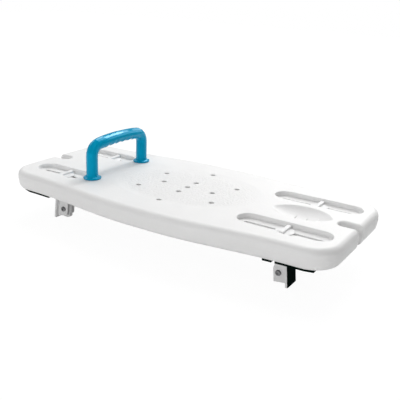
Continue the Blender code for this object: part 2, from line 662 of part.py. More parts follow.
def build_handle_fixings():
    """Bolt and washer under each handle foot, put in from below."""
    shoulder_z = UNDERSIDE_Z + HANDLE_POCKET_DEPTH
    for row, place in handle_foot_places():
        washer_top = -SEAT_GAP
        washer_bottom = washer_top - HANDLE_WASHER_THICKNESS
        head_top = washer_bottom - SEAT_GAP
        head_bottom = head_top - HANDLE_BOLT_HEAD_HEIGHT
        tip = TOP_Z + SEAT_GAP + HANDLE_BOLT_ENGAGEMENT - shoulder_z
        bolt = loft([circle_ring(HANDLE_BOLT_HEAD_RADIUS, head_bottom, 6),
                     circle_ring(HANDLE_BOLT_HEAD_RADIUS, head_top, 6)])
        shank = loft([circle_ring(HANDLE_BOLT_RADIUS, z, 12)
                      for z in (head_bottom + HANDLE_BOLT_HEAD_HEIGHT / 2, tip)])
        origin = (place[0], place[1], shoulder_z)
        piece = add_object(f"handle_bolt_{row}", bolt, origin)
        boolean(piece, add_object(f"join_handle_shank_{row}", shank, origin), "UNION")
        finish(piece, plastic(f"handle_bolt_{row}_steel", STEEL_GREY, 0.35, 1.0))
        washer = add_object(f"handle_washer_{row}",
                            washer_body(HANDLE_WASHER_RADIUS, HANDLE_BOLT_RADIUS + RUN_GAP,
                                        washer_bottom, washer_top, 16), origin)
        finish(washer, plastic(f"handle_washer_{row}_steel", STEEL_GREY, 0.4, 1.0))


def washer_body(outer, inner, low_z, high_z, segments):
    """Flat ring: a loop of four-sided sections joined round the hole."""
    ring = bmesh.new()
    loops = [[ring.verts.new(point) for point in circle_ring(radius, z, segments)]
             for radius, z in ((inner, low_z), (outer, low_z), (outer, high_z), (inner, high_z))]
    for k in range(4):
        here, there = loops[k], loops[(k + 1) % 4]
        for i in range(segments):
            j = (i + 1) % segments
            ring.faces.new((here[i], here[j], there[j], there[i]))
    return ring


def build_slider(corner, side_x, side_y):
    """Block that slides under a recess: flange, key in the slot, and the tongue that carries the leg."""
    origin = (*slider_place(side_x, side_y), UNDERSIDE_Z)
    flange_top = -SEAT_GAP
    flange_bottom = flange_top - SLIDER_FLANGE_HEIGHT
    half_length = SLIDER_FLANGE_LENGTH / 2
    half_width = SLIDER_FLANGE_WIDTH / 2
    flange = box((-half_length, -half_width, flange_bottom), (half_length, half_width, flange_top))
    bmesh.ops.bevel(flange, geom=[edge for edge in flange.edges if abs(edge.verts[0].co.z - edge.verts[1].co.z)
                                  > SLIDER_FLANGE_HEIGHT / 2],
                    offset=0.006, segments=3, profile=0.5, affect="EDGES", material=-1)
    slider = add_object(f"slider_block_{corner}", flange, origin)

    key_half = SLOT_WIDTH / 2 - RUN_GAP
    key = loft([stadium_ring((0.0, 0.0), SLIDER_KEY_LENGTH / 2 - key_half, key_half, z, 4)
                for z in (flange_top - SLIDER_FLANGE_HEIGHT / 2, SLIDER_KEY_HEIGHT)])
    boolean(slider, add_object(f"join_key_{corner}", key, origin), "UNION")

    bottom = -(UNDERSIDE_Z - SLIDER_TONGUE_BOTTOM)
    corner_radius = SLIDER_TONGUE_CORNER
    profile = [(-SLIDER_TONGUE_INNER, flange_top - SLIDER_FLANGE_HEIGHT / 2)]
    for centre_x, start in ((-SLIDER_TONGUE_INNER + corner_radius, math.pi),
                            (SLIDER_TONGUE_OUTER - corner_radius, 3 * math.pi / 2)):
        for angle in arc(start, start + math.pi / 2, 4):
            profile.append((centre_x + corner_radius * math.cos(angle),
                            bottom + corner_radius + corner_radius * math.sin(angle)))
    profile.append((SLIDER_TONGUE_OUTER, flange_top - SLIDER_FLANGE_HEIGHT / 2))
    tongue = corner_mirror(slab_along_y(profile, SLIDER_TONGUE_WIDTH / 2), side_x, side_y)
    boolean(slider, add_object(f"join_tongue_{corner}", tongue, origin), "UNION")
    boss_half = LEG_CHANNEL_HALF - RUN_GAP
    boss = turn_to_y(loft([circle_ring(SLIDER_BOSS_RADIUS, z, 16) for z in (-boss_half, boss_half)]))
    boolean(slider, add_object(f"join_boss_{corner}", boss, (origin[0], origin[1], PIVOT_HEIGHT)), "UNION")

    stud_bore = loft([circle_ring(STUD_RADIUS + RUN_GAP, z, 12)
                      for z in (-STUD_DEPTH_IN_SLIDER - SEAT_GAP, SLIDER_KEY_HEIGHT + CUT_OVERRUN)])
    boolean(slider, add_object(f"cut_stud_bore_{corner}", stud_bore, origin), "DIFFERENCE")
    pivot_bore = loft([circle_ring(SCREW_RADIUS + RUN_GAP, z, 12)
                       for z in (-LEG_CHANNEL_WIDTH, LEG_CHANNEL_WIDTH)])
    turn_to_y(pivot_bore)
    boolean(slider, add_object(f"cut_pivot_bore_{corner}", pivot_bore,
                               (origin[0], origin[1], PIVOT_HEIGHT)), "DIFFERENCE")
    return finish(slider, plastic(f"slider_block_{corner}_white", BRACKET_WHITE, 0.42))


def turn_to_y(body):
    """Lay a body drawn along Z down along Y, its top towards +Y."""
    bmesh.ops.rotate(body, cent=(0.0, 0.0, 0.0), matrix=Matrix.Rotation(-math.pi / 2, 3, "X"), verts=body.verts)
    return body


def build_stud(corner, slider):
    """Threaded stud that stands in the slider and reaches up into the knob."""
    top = KNOB_TOP_Z - KNOB_CAP_WALL - 2 * SEAT_GAP - UNDERSIDE_Z
    body = loft([circle_ring(STUD_RADIUS, z, 12) for z in (-STUD_DEPTH_IN_SLIDER, top)])
    stud = add_object(f"clamp_stud_{corner}", body, slider.location, slider)
    finish(stud, plastic(f"clamp_stud_{corner}_steel", STEEL_GREY, 0.35, 1.0))


def build_knob_washer(corner, slider):
    low = RECESS_FLOOR_Z + SEAT_GAP - UNDERSIDE_Z
    body = washer_body(KNOB_WASHER_RADIUS, STUD_RADIUS + RUN_GAP, low, low + KNOB_WASHER_THICKNESS, 12)
    washer = add_object(f"knob_washer_{corner}", body, slider.location, slider)
    finish(washer, plastic(f"knob_washer_{corner}_steel", STEEL_GREY, 0.4, 1.0))


def build_knob(corner, slider):
    """Low domed clamp knob with a grip bar across it; it turns on the stud's axis, over its washer."""
    origin = (slider.location.x, slider.location.y, KNOB_BOTTOM_Z)
    dome_top = KNOB_EDGE_HEIGHT + KNOB_DOME_HEIGHT
    bar_top = KNOB_TOP_Z - KNOB_BOTTOM_Z
    levels = [(KNOB_RADIUS, 0.0), (KNOB_RADIUS, KNOB_EDGE_HEIGHT)]
    for share in (0.35, 0.7, 1.0):
        levels.append((KNOB_RADIUS * math.cos(share * math.pi / 2.6),
                       KNOB_EDGE_HEIGHT + KNOB_DOME_HEIGHT * math.sin(share * math.pi / 2)))
    knob = add_object(f"clamp_knob_{corner}", loft([circle_ring(radius, z, 24) for radius, z in levels]), origin)
    half_length = KNOB_BAR_LENGTH / 2
    half_width = KNOB_BAR_WIDTH / 2
    bar = box((-half_width, -half_length, KNOB_EDGE_HEIGHT / 2), (half_width, half_length, bar_top))
    bmesh.ops.bevel(bar, geom=[edge for edge in bar.edges if min(vert.co.z for vert in edge.verts) > dome_top],
                    offset=0.0012, segments=2, profile=0.5, affect="EDGES", material=-1)
    boolean(knob, add_object(f"join_bar_{corner}", bar, origin), "UNION")
    seat = KNOB_WASHER_THICKNESS + SEAT_GAP
    bore = loft([circle_ring(radius, z, 12)
                 for radius, z in ((KNOB_WASHER_RADIUS + RUN_GAP, -CUT_OVERRUN), (KNOB_WASHER_RADIUS + RUN_GAP, seat),
                                   (STUD_RADIUS + RUN_GAP, seat), (STUD_RADIUS + RUN_GAP, bar_top - KNOB_CAP_WALL))])
    boolean(knob, add_object(f"cut_knob_bore_{corner}", bore, origin), "DIFFERENCE")
    knob.parent = slider
    knob.matrix_parent_inverse = Matrix.Translation(slider.location).inverted()
    return finish(knob, plastic(f"clamp_knob_{corner}_white", BRACKET_WHITE, 0.4))


def foot_drop(reach):
    """How far below the pivot the leg ends at a given reach outward, so that the splayed foot is level."""
    return (PIVOT_HEIGHT + reach * math.sin(LEG_SPLAY)) / math.cos(LEG_SPLAY)


def plate_profile(inner, outer, top):
    """Side profile of the plate or its pad, with the foot cut level."""
    return [(inner, -foot_drop(inner)), (outer, -foot_drop(outer)), (outer, top), (inner, top)]


def pad_body(base):
    """Flat rubber pad with bevelled edges, its base as large as the plate it lies on."""
    face = base + PAD_THICKNESS
    rings = []
    for reach, inset in ((base, 0.0), (face, PAD_BEVEL)):
        half = LEG_PLATE_WIDTH / 2 - PAD_MARGIN - inset
        top = LEG_PLATE_TOP - PAD_MARGIN - inset
        bottom = -foot_drop(reach) + inset
        rings.append([Vector((reach, y, z)) for y, z in ((-half, bottom), (half, bottom), (half, top), (-half, top))])
    return loft(rings)


def cheek_profile(side_x):
    """Side profile of a cheek: at the left its bottom edge drops to the foot, at the right it ends level."""
    reach = LEG_PLATE_INNER + LEG_PLATE_THICKNESS / 2
    if side_x > 0:
        return [(reach, -LEG_CHEEK_LEVEL_BOTTOM), (reach, LEG_CHEEK_TOP),
                (LEG_CHEEK_CHAMFER_WIDTH - LEG_CHEEK_INNER, LEG_CHEEK_TOP),
                (-LEG_CHEEK_INNER, LEG_CHEEK_CHAMFER_START), (-LEG_CHEEK_INNER, -LEG_CHEEK_LEVEL_BOTTOM)]
    slope = math.atan2(LEG_CHEEK_OUTER_BOTTOM - LEG_CHEEK_INNER_BOTTOM, LEG_CHEEK_INNER + LEG_PLATE_INNER)
    radius = LEG_CHEEK_CORNER
    points = [(reach, -LEG_CHEEK_OUTER_BOTTOM), (reach, LEG_CHEEK_TOP)]
    centre = (-LEG_CHEEK_INNER + radius, LEG_CHEEK_TOP - radius)
    for angle in arc(math.pi / 2, math.pi, 3):
        points.append((centre[0] + radius * math.cos(angle), centre[1] + radius * math.sin(angle)))
    centre = (-LEG_CHEEK_INNER + radius, -LEG_CHEEK_INNER_BOTTOM + radius / 2)
    for angle in arc(math.pi, 3 * math.pi / 2 - slope, 3):
        points.append((centre[0] + radius * math.cos(angle), centre[1] + radius * math.sin(angle)))
    return points


def build_leg(corner, side_x, side_y, slider):
    """Leg: a wide plate with two cheeks that straddle the slider's tongue, splayed on the pivot screw."""
    origin = (*slider_place(side_x, side_y), PIVOT_HEIGHT)
    plate_outer = LEG_PLATE_INNER + LEG_PLATE_THICKNESS
    plate = slab_along_y(plate_profile(LEG_PLATE_INNER, plate_outer, LEG_PLATE_TOP), LEG_PLATE_WIDTH / 2)
    cheeks = slab_along_y(cheek_profile(side_x), LEG_CHEEK_HALF)
    channel = box((-LEG_CHEEK_INNER - CUT_OVERRUN, -LEG_CHANNEL_HALF, -LEG_CHEEK_OUTER_BOTTOM - CUT_OVERRUN),
                  (LEG_PLATE_INNER - RUN_GAP, LEG_CHANNEL_HALF, LEG_CHEEK_TOP + CUT_OVERRUN))
    bore = turn_to_y(loft([circle_ring(SCREW_RADIUS + RUN_GAP, z, 12) for z in (-LEG_PLATE_WIDTH, LEG_PLATE_WIDTH)]))
    pad = pad_body(plate_outer + SEAT_GAP)
    leg = add_object(f"pivot_leg_{corner}", corner_mirror(plate, side_x, side_y), origin)
    tools = []
    for name, body, operation in (("join_cheeks", cheeks, "UNION"), ("cut_channel", channel, "DIFFERENCE"),
                                  ("cut_leg_bore", bore, "DIFFERENCE")):
        tool = add_object(f"{name}_{corner}", corner_mirror(body, side_x, side_y), origin)
        boolean(leg, tool, operation)
        tools.append(tool)
    rubber = add_object(f"rubber_pad_{corner}", corner_mirror(pad, side_x, side_y), origin)
    for piece in [leg, rubber] + tools:
        piece.rotation_euler = (0.0, -side_x * LEG_SPLAY, 0.0)
    for piece in (leg, rubber):
        piece.parent = slider
        piece.matrix_parent_inverse = Matrix.Translation(slider.location).inverted()
    finish(leg, plastic(f"pivot_leg_{corner}_white", BRACKET_WHITE, 0.42))
    finish(rubber, plastic(f"rubber_pad_{corner}_black", RUBBER_BLACK, 0.75))


def build_pivot_fixings(corner, side_x, side_y, slider):
    """Socket-headed screw through cheeks and tongue, head outward, and the nut on its inner end."""
    origin = (*slider_place(side_x, side_y), PIVOT_HEIGHT)
    seat = LEG_CHEEK_HALF + SEAT_GAP
    head_top = seat + SCREW_HEAD_HEIGHT
    tail = -(seat + NUT_HEIGHT + SCREW_TAIL)
    levels = [(SCREW_RADIUS, tail), (SCREW_RADIUS, seat), (SCREW_HEAD_RADIUS, seat),
              (SCREW_HEAD_RADIUS, head_top - 0.0012), (SCREW_HEAD_RADIUS - 0.0011, head_top)]
    screw = add_object(f"pivot_screw_{corner}",
                       corner_mirror(turn_to_y(loft([circle_ring(radius, z, 12) for radius, z in levels])),
                                     side_x, side_y), origin)
    socket = turn_to_y(loft([circle_ring(SCREW_SOCKET_RADIUS, z, 6)
                             for z in (head_top - SCREW_SOCKET_DEPTH, head_top + CUT_OVERRUN)]))
    boolean(screw, add_object(f"cut_socket_{corner}", corner_mirror(socket, side_x, side_y), origin), "DIFFERENCE")
    nut_rings = []
    for radius_hole in (False, True):
        for z in (-seat - NUT_HEIGHT, -seat):
            ring = []
            for i in range(12):
                angle = math.pi * i / 6
                flat = NUT_RADIUS if i % 2 == 0 else NUT_RADIUS * math.cos(math.pi / 6)
                radius = SCREW_RADIUS + RUN_GAP if radius_hole else flat
                ring.append(Vector((radius * math.cos(angle), radius * math.sin(angle), z)))
            nut_rings.append(ring)
    nut_body = bmesh.new()
    loops = [[nut_body.verts.new(point) for point in nut_rings[k]] for k in (0, 1, 3, 2)]
    for k in range(4):
        here, there = loops[k], loops[(k + 1) % 4]
        for i in range(12):
            j = (i + 1) % 12
            nut_body.faces.new((here[i], here[j], there[j], there[i]))
    nut = add_object(f"pivot_nut_{corner}", corner_mirror(turn_to_y(nut_body), side_x, side_y), origin)
    for piece in (screw, nut):
        piece.parent = slider
        piece.matrix_parent_inverse = Matrix.Translation(slider.location).inverted()
    finish(screw, plastic(f"pivot_screw_{corner}_steel", STEEL_GREY, 0.3, 1.0))
    finish(nut, plastic(f"pivot_nut_{corner}_steel", STEEL_GREY, 0.35, 1.0))


def build_brackets():
    for row, side_y in (("front", -1), ("rear", 1)):
        for end, side_x in (("left", -1), ("right", 1)):
            corner = f"{row}_{end}"
            slider = build_slider(corner, side_x, side_y)
            build_stud(corner, slider)
            build_knob_washer(corner, slider)
            build_knob(corner, slider)
            build_leg(corner, side_x, side_y, slider)
            build_pivot_fixings(corner, side_x, side_y, slider)


def build_rim_strips():
    """Rubber strips let into the underside, standing proud so that the bath rim meets them first."""
    top = UNDERSIDE_Z + STRIP_SEAT_DEPTH - SEAT_GAP
    for name, side_x, side_y, start, end in strip_spans():
        strip = add_object(name, strip_body(side_x, side_y, start, end, 0.0, top - STRIP_THICKNESS, top))
        finish(strip, plastic(f"{name}_black", RUBBER_BLACK, 0.8))


clear_scene()
build_seat_board()
build_handle()
build_handle_fixings()
build_brackets()
build_rim_strips()
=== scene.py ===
"""Bath board with a grab handle and four clamped wall brackets, dressed for a studio picture."""
import math

import bmesh
import bpy
from mathutils import Matrix, Vector


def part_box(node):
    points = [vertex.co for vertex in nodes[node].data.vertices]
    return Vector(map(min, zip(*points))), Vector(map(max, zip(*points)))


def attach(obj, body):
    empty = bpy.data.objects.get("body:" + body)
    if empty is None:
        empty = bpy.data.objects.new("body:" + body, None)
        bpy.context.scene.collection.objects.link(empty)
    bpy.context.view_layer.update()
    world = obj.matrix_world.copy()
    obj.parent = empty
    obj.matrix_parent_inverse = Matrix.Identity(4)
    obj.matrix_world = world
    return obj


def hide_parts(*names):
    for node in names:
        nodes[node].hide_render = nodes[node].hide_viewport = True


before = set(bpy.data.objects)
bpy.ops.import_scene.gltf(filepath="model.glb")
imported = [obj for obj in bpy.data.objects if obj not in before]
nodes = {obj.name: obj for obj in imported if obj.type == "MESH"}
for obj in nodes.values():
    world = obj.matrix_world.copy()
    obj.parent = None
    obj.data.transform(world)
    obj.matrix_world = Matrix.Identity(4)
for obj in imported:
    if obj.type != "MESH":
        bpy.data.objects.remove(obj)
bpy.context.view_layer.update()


# Seat board. One blow-moulded shell of white polyethylene, satin, with the fine pebble grain that the
# mould's blasted surface leaves. It carries everything else. It is drawn here from the CAD solid's own
# sizes with finer steps, the seat's hollow with a softer wall and the soap dish with a rounded lip.
BOARD_LENGTH = 0.738
BOARD_WIDTH = 0.3475
END_WIDTH = 0.2975
END_BOW = 0.0010
WIDE_HALF_LENGTH = 0.025
CORNER_RADIUS = 0.0555
UNDERSIDE_Z = 0.0658
TOP_Z = 0.1066
TOP_EDGE_RADIUS = 0.013
BOTTOM_EDGE_RADIUS = 0.012
LOWER_SIDE_TAPER = 0.0015
PARTING_Z = TOP_Z - 0.019
PARTING_RIDGE = 0.0004
PARTING_HALF_HEIGHT = 0.0016
END_STEPS = 4
CORNER_STEPS = 24
SIDE_STEPS = 36
SLOPE_STEP = 0.0005
BOTTOM_EDGE_STEPS = 9
TOP_EDGE_STEPS = 12
JOIN_DISTANCE = 0.000001
TURN_WEIGHT = 1000.0

half_end = END_WIDTH / 2
end_arc = (half_end ** 2 + END_BOW ** 2) / (2 * END_BOW)
end_arc_x = BOARD_LENGTH / 2 - end_arc
corner_y = half_end - CORNER_RADIUS
corner_x = end_arc_x + math.sqrt((end_arc - CORNER_RADIUS) ** 2 - corner_y ** 2)


def side_y_at(x):
    share = min(1.0, max(0.0, abs(x) - WIDE_HALF_LENGTH) / (corner_x - WIDE_HALF_LENGTH))
    return half_end + (BOARD_WIDTH - END_WIDTH) / 2 * (0.5 + 0.5 * math.cos(math.pi * share))


def outline(inset):
    meet = math.atan2(corner_y, corner_x - end_arc_x)
    quarter = []
    for i in range(END_STEPS + 1):
        turn = meet * i / END_STEPS
        quarter.append((end_arc_x + (end_arc - inset) * math.cos(turn), (end_arc - inset) * math.sin(turn)))
    for i in range(1, CORNER_STEPS + 1):
        turn = meet + (math.pi / 2 - meet) * i / CORNER_STEPS
        quarter.append((corner_x + (CORNER_RADIUS - inset) * math.cos(turn),
                        corner_y + (CORNER_RADIUS - inset) * math.sin(turn)))
    for i in range(1, SIDE_STEPS + 1):
        x = corner_x * (1 - i / SIDE_STEPS)
        slope = 0.0
        if i < SIDE_STEPS:
            slope = (side_y_at(x + SLOPE_STEP) - side_y_at(x - SLOPE_STEP)) / (2 * SLOPE_STEP)
        length = math.hypot(1.0, slope)
        quarter.append((x + inset * slope / length, side_y_at(x) - inset / length))
    half = quarter + [(-x, y) for x, y in reversed(quarter[:-1])]
    return half + [(x, -y) for x, y in reversed(half[1:-1])]


def fillet(steps):
    turns = [math.pi / 2 * i / steps for i in range(steps + 1)]
    return [(1 - math.cos(turn), 1 - math.sin(turn)) for turn in turns]


def closed(body):
    bmesh.ops.recalc_face_normals(body, faces=body.faces)
    if body.calc_volume(signed=True) < 0:
        bmesh.ops.reverse_faces(body, faces=body.faces)
    return body


def bridged(rings):
    body = bmesh.new()
    bands = []
    for ring in rings:
        corners = [body.verts.new(corner) for corner in ring]
        bands.append([body.edges.new(pair) for pair in zip(corners, corners[1:] + corners[:1])])
    for low, high in zip(bands, bands[1:]):
        bmesh.ops.bridge_loops(body, edges=low + high)
    bmesh.ops.edgeloop_fill(body, edges=bands[0] + bands[-1])
    return closed(body)


def level(plan, z):
    return [(x, y, z) for x, y in plan]


def order_round_axis(face):
    middle = face.calc_center_median()
    return TURN_WEIGHT * math.atan2(middle.y, middle.x) + middle.xy.length + middle.z


def turned(profile, sides, first_side=0.5):
    body = bmesh.new()
    line = [(0.0, profile[0][1]), *profile, (0.0, profile[-1][1])]
    corners = [body.verts.new((radius, 0.0, z)) for radius, z in line]
    edges = [body.edges.new(pair) for pair in zip(corners, corners[1:])]
    bmesh.ops.spin(body, geom=corners + edges, axis=(0, 0, 1), cent=(0, 0, 0), angle=2 * math.pi,
                   steps=sides, use_merge=True)
    bmesh.ops.remove_doubles(body, verts=body.verts, dist=JOIN_DISTANCE)
    # The spin leaves its faces in another order each run, so they are sorted to give one result.
    body.faces.sort(key=order_round_axis)
    bmesh.ops.rotate(body, verts=body.verts, cent=(0, 0, 0),
                     matrix=Matrix.Rotation(2 * math.pi * first_side / sides, 3, "Z"))
    return closed(body)


def drawn_apart(body, centre, straight=0.0):
    for side in (-1, 1):
        half = [vert for vert in body.verts if vert.co.x * side > JOIN_DISTANCE / 10]
        bmesh.ops.translate(body, verts=half, vec=(side * straight, 0.0, 0.0))
    bmesh.ops.translate(body, verts=body.verts, vec=(*centre, 0.0))
    return body


rim = [(LOWER_SIDE_TAPER + BOTTOM_EDGE_RADIUS * rise, UNDERSIDE_Z + BOTTOM_EDGE_RADIUS * across)
       for across, rise in fillet(BOTTOM_EDGE_STEPS)]
rim += [(PARTING_RIDGE, PARTING_Z - PARTING_HALF_HEIGHT), (0.0, PARTING_Z),
        (PARTING_RIDGE, PARTING_Z + PARTING_HALF_HEIGHT)]
rim += [(PARTING_RIDGE + TOP_EDGE_RADIUS * across, TOP_Z - TOP_EDGE_RADIUS * drop)
        for across, drop in fillet(TOP_EDGE_STEPS)]
shell = bridged([level(outline(inset), z) for inset, z in rim])

# The seat's hollow, its eleven drain holes and the pinched pocket under each.
SEAT_HALF_LENGTH = 0.166
SEAT_HALF_WIDTH = 0.113
SEAT_DEPTH = 0.0022
SEAT_WALL_SHARE = 0.22
SEAT_WALL_DEPTH_SHARE = 0.8
SEAT_EDGE = 1.03
SEAT_REACH = 1.06
SEAT_RINGS = 40
HOLLOW_SIDES = 96
SKIN = 0.0001
OVERRUN = 0.004
DRAIN_RADIUS = 0.0053
DRAIN_RIM_RADIUS = 0.0014
DRAIN_SPACING = (0.0591, 0.0333)
DRAIN_RING_RADIUS = 0.1013
DRAIN_POCKET_TOP = (0.0085, TOP_Z - 0.007)
DRAIN_POCKET_MOUTH = 0.0130
HOLE_SIDES = 32
SMALL_ROUND_STEPS = 5
RING_DRAINS = 6
RING_DRAIN_START = 30.0


def seat_level(share):
    wall = min(1.0, max(0.0, (SEAT_EDGE - share) / SEAT_WALL_SHARE))
    eased = wall * wall * (3 - 2 * wall)
    bowl = max(0.0, 1 - share ** 2)
    return TOP_Z - SEAT_DEPTH * (eased * SEAT_WALL_DEPTH_SHARE + (1 - SEAT_WALL_DEPTH_SHARE) * bowl)


seat_profile = []
for i in range(1, SEAT_RINGS + 1):
    share = i / SEAT_RINGS * SEAT_REACH
    seat_profile.append((share, seat_level(share) + (SKIN if share > SEAT_EDGE else 0.0)))
hollow = turned(seat_profile, HOLLOW_SIDES, first_side=0)
bmesh.ops.scale(hollow, verts=hollow.verts, vec=(SEAT_HALF_LENGTH, SEAT_HALF_WIDTH, 1.0))

drain_places = [(0.0, 0.0), (0.0, DRAIN_SPACING[1]), (0.0, -DRAIN_SPACING[1]),
                (DRAIN_SPACING[0], 0.0), (-DRAIN_SPACING[0], 0.0)]
for i in range(RING_DRAINS):
    turn = math.radians(RING_DRAIN_START + 360 / RING_DRAINS * i)
    drain_places.append((DRAIN_RING_RADIUS * math.cos(turn), DRAIN_RING_RADIUS * math.sin(turn)))
drains = []
for place in drain_places:
    rim_z = seat_level(math.hypot(place[0] / SEAT_HALF_LENGTH, place[1] / SEAT_HALF_WIDTH))
    profile = [(DRAIN_POCKET_MOUTH, UNDERSIDE_Z - OVERRUN), (DRAIN_POCKET_MOUTH, UNDERSIDE_Z),
               DRAIN_POCKET_TOP, (DRAIN_RADIUS, DRAIN_POCKET_TOP[1])]
    profile += [(DRAIN_RADIUS + DRAIN_RIM_RADIUS * across, rim_z - DRAIN_RIM_RADIUS * drop)
                for across, drop in fillet(SMALL_ROUND_STEPS)]
    profile.append((DRAIN_RADIUS + DRAIN_RIM_RADIUS, TOP_Z + OVERRUN))
    drains.append(drawn_apart(turned(profile, HOLE_SIDES), place))

# The four long recesses for the clamp knobs, the slot in each floor, and the front ones' finger notch.
RECESSES = ((0.2535, 0.1810), (-0.2700, 0.1310))
RECESS_Y = 0.0798
RECESS_HALF_WIDTH = 0.0238
RECESS_FLOOR_Z = TOP_Z - 0.0098
RECESS_DRAFT = 0.0010
RECESS_RIM_RADIUS = 0.0014
RECESS_FLOOR_RADIUS = 0.0022
RECESS_SIDES = 64
SLOT_END_MARGIN = 0.0125
SLOT_HALF_WIDTH = 0.0045
NOTCHES = (0.2705, -0.2295)
NOTCH_HALF_LENGTH = 0.0185
NOTCH_REACH = 0.0090
NOTCH_DEPTH = 0.0045
NOTCH_CORNER = 0.0055
NOTCH_CORNER_STEPS = 8
NOTCH_SIDE_DRAFT = 0.0030
NOTCH_LIFTS = (0.0, 0.08, 0.25, 0.5, 0.75, 0.92, 1.0, 1.8)

recesses = []
slots = []
for centre_x, length in RECESSES:
    for side in (-1, 1):
        centre = (centre_x, side * RECESS_Y)
        floor_radius = RECESS_HALF_WIDTH - RECESS_DRAFT
        profile = [(floor_radius - RECESS_FLOOR_RADIUS * rise, RECESS_FLOOR_Z + RECESS_FLOOR_RADIUS * across)
                   for across, rise in fillet(SMALL_ROUND_STEPS)]
        profile += [(RECESS_HALF_WIDTH + RECESS_RIM_RADIUS * across, TOP_Z - RECESS_RIM_RADIUS * drop)
                    for across, drop in fillet(SMALL_ROUND_STEPS)]
        profile.append((RECESS_HALF_WIDTH + RECESS_RIM_RADIUS, TOP_Z + OVERRUN))
        recesses.append(drawn_apart(turned(profile, RECESS_SIDES), centre, length / 2 - RECESS_HALF_WIDTH))
        profile = [(SLOT_HALF_WIDTH, UNDERSIDE_Z - OVERRUN), (SLOT_HALF_WIDTH, RECESS_FLOOR_Z + OVERRUN)]
        slots.append(drawn_apart(turned(profile, HOLE_SIDES), centre,
                                 length / 2 - SLOT_END_MARGIN - SLOT_HALF_WIDTH))
notches = []
for centre_x in NOTCHES:
    rings = []
    for lift in NOTCH_LIFTS:
        inset = 1 - min(1.0, lift)
        eased = 3 * lift ** 2 - 2 * lift ** 3 if lift < 1 else 1.0
        half = NOTCH_HALF_LENGTH - inset * NOTCH_SIDE_DRAFT
        front = -(RECESS_Y + RECESS_HALF_WIDTH + NOTCH_REACH) + inset * NOTCH_REACH
        plan = [(centre_x + side * half, -RECESS_Y - RECESS_HALF_WIDTH / 2) for side in (1, -1)]
        for side, start in ((-1, math.pi), (1, 3 * math.pi / 2)):
            for i in range(NOTCH_CORNER_STEPS + 1):
                turn = start + math.pi / 2 * i / NOTCH_CORNER_STEPS
                plan.append((centre_x + side * (half - NOTCH_CORNER) + NOTCH_CORNER * math.cos(turn),
                             front + NOTCH_CORNER + NOTCH_CORNER * math.sin(turn)))
        rings.append(level(plan, TOP_Z - NOTCH_DEPTH * (1 - eased) + (OVERRUN if lift > 1 else 0.0)))
    notches.append(bridged(rings))

# The leaf-shaped soap dish and the three low ribs across its floor.
SOAP_CENTRE = (0.2515, 0.0045)
SOAP_HALF_LENGTH = 0.059
SOAP_HALF_WIDTH = 0.036
SOAP_DEPTH = 0.0145
SOAP_BOWL_POWER = 0.85
SOAP_LEAF_POWER = 1.25
SOAP_LIP_SHARE = 0.022
SOAP_LIP_STEPS = 4
SOAP_EDGE = 1.055
SOAP_REACH = 1.07
SOAP_RINGS = 30
RIB_CENTRE = (0.2597, 0.0051)
RIB_PITCH = 0.0222
RIB_HALF_LENGTH = 0.0120
RIB_HALF_WIDTH = 0.0020
RIB_HEIGHT = 0.0017
RIB_FLANK_SINK = 0.45
RIB_SLICES = 8
RIB_STEPS = 16


def soap_level(share):
    total = 0.0
    for i in range(-SOAP_LIP_STEPS, SOAP_LIP_STEPS + 1):
        near = abs(share + SOAP_LIP_SHARE * i / SOAP_LIP_STEPS)
        total += (1 - near ** 2) ** SOAP_BOWL_POWER if near < 1 else 0.0
    return TOP_Z - SOAP_DEPTH * total / (2 * SOAP_LIP_STEPS + 1)


soap_profile = []
for i in range(1, SOAP_RINGS + 1):
    share = SOAP_REACH * i / SOAP_RINGS
    soap_profile.append((share, soap_level(share) + (SKIN if share > SOAP_EDGE else 0.0)))
dish = turned(soap_profile, HOLLOW_SIDES, first_side=0)
for vert in dish.verts:
    share = vert.co.xy.length
    if share > 0:
        vert.co.y = share * math.copysign(abs(vert.co.y / share) ** SOAP_LEAF_POWER, vert.co.y)
bmesh.ops.scale(dish, verts=dish.verts, vec=(SOAP_HALF_LENGTH, SOAP_HALF_WIDTH, 1.0))
bmesh.ops.translate(dish, verts=dish.verts, vec=(*SOAP_CENTRE, 0.0))
ribs = []
for place in (-1, 0, 1):
    rib_x = RIB_CENTRE[0] + place * RIB_PITCH
    rings = []
    for i in range(RIB_SLICES + 1):
        across = 2 * i / RIB_SLICES - 1
        x = rib_x + across * RIB_HALF_WIDTH
        ring = []
        for j in range(RIB_STEPS + 1):
            along = 2 * j / RIB_STEPS - 1
            share = math.hypot((rib_x - SOAP_CENTRE[0]) / SOAP_HALF_LENGTH,
                               along * RIB_HALF_LENGTH / SOAP_HALF_WIDTH)
            rise = (1 - along ** 4) * (1 - across ** 2) - RIB_FLANK_SINK * across ** 2 * abs(across)
            ring.append((x, RIB_CENTRE[1] + along * RIB_HALF_LENGTH,
                         soap_level(share) + RIB_HEIGHT * rise - SKIN))
        ring += [(x, RIB_CENTRE[1] + end * RIB_HALF_LENGTH, TOP_Z - SOAP_DEPTH - OVERRUN / 2)
                 for end in (1, -1)]
        rings.append(ring)
    ribs.append(bridged(rings))

# The hose slot in each end, open to the end and rounded at its rim.
HOSE_SLOT_REACH = 0.0445
HOSE_SLOT_HALF_WIDTH = 0.0125
HOSE_SLOT_RIM_RADIUS = 0.0045
HOSE_SLOT_MOUTH = 0.004
HOSE_SLOT_STEPS = 24
HOSE_SLOT_RIM_STEPS = 7

